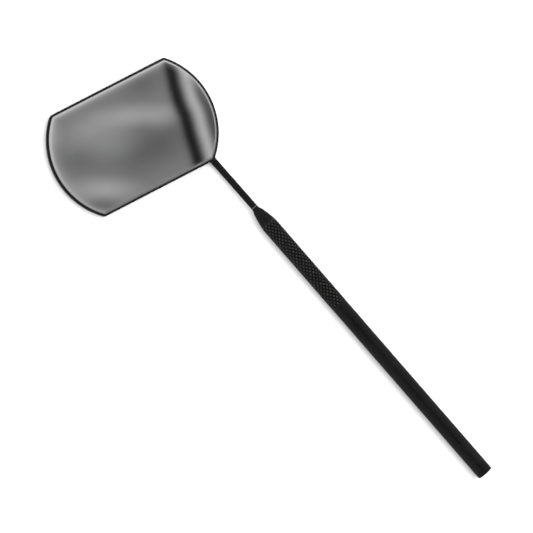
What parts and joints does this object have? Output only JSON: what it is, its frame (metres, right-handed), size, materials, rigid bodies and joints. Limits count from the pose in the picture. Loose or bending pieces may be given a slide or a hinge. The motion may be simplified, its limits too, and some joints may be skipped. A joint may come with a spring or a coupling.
{
  "type": "mouth mirror",
  "caption": "Large flat inspection mirror with a barrel-shaped black frame, on a thin stem that screws into a slim round handle with a diamond knurl.",
  "frame": {"origin": "centre of the object's footprint, on the plane that the head's back and the handle's knurl lie on", "axes": "+X along the handle towards the mirror head, +Y to the side that most of the head lies on, +Z out of the mirror's face"},
  "size_m": [0.2018, 0.0632, 0.006],
  "materials": {
    "coated_frame": "satin black coating on pressed steel",
    "coated_stem": "satin black coating on a steel rod, bare thread",
    "coated_handle": "satin black coating on a turned and knurled steel handle",
    "mirror_face": "silvered glass with a ground and polished bevel",
    "bright_steel": "bare turned steel",
    "pad_foam": "grey closed-cell foam",
    "sealant": "black sealant"
  },
  "bodies": {
    "handle": {"handle_nose": "coated_handle", "handle_tube": "coated_handle", "end_plug": "coated_handle"},
    "washer": {"lock_washer": "bright_steel"},
    "head": {"bezel_frame": "coated_frame", "back_plate": "coated_frame", "backing_pad": "pad_foam", "mirror_glass": "mirror_face", "edge_seal": "sealant", "stem": "coated_stem", "stem_braze": "coated_stem"}
  },
  "joints": [
    {"name": "head_travel", "type": "slide", "parent": "handle", "child": "washer", "axis": [1, 0, 0], "range_m": [0, 0.0042]},
    {"name": "head_turn", "type": "hinge", "parent": "washer", "child": "head", "pos_m": [0.02746, -0.0165, 0.003], "axis": [1, 0, 0], "range_deg": [0, 3780]}
  ],
  "couplings": [
    {"joint": "head_travel", "follows": "head_turn", "m_per_rad": 0.000063662}
  ]
}
